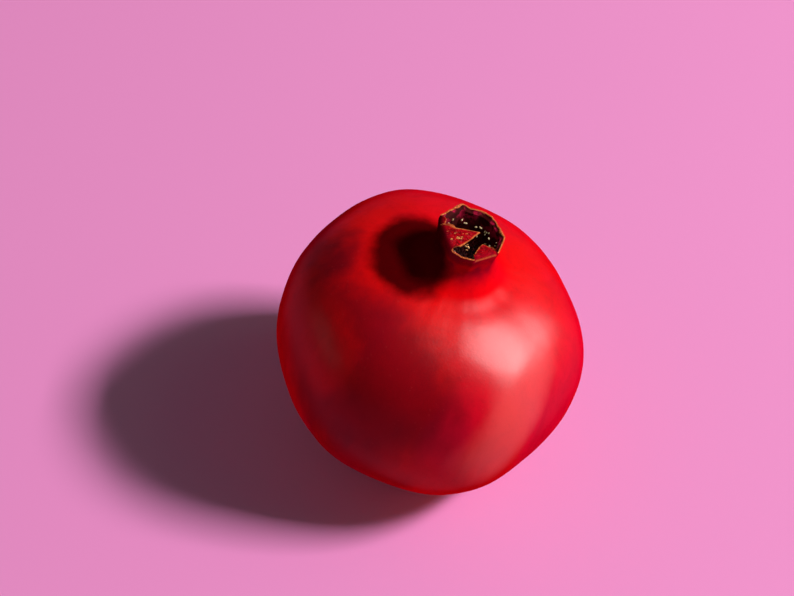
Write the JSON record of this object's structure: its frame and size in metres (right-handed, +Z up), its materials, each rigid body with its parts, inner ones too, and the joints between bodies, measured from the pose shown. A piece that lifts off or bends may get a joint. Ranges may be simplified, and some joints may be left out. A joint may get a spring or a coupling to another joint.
{
  "type": "pomegranate",
  "caption": "Whole ripe pomegranate lying at a slight lean, round with soft ribs, its crown open at the top with dried sepals folded in over a cup of stamens.",
  "frame": {"origin": "middle of the small flat spot that the fruit rests on, at the height of the surface under it", "axes": "+Z up from the surface; the fruit leans towards +X, so its crown is up and to +X; +Y is the side away from the larger folded sepal's open edge, at the back of the crown"},
  "size_m": [0.0909, 0.0917, 0.0891],
  "materials": {
    "rind": "leathery rind with a waxy gloss, deep red with crimson and darker patches",
    "stamens": "dry and matt, brown threads with pale straw tips",
    "stem": "dry, rough cut wood"
  },
  "bodies": {
    "root": {"fruit": "rind", "stamens": "stamens", "stem_stub": "stem"}
  },
  "joints": []
}
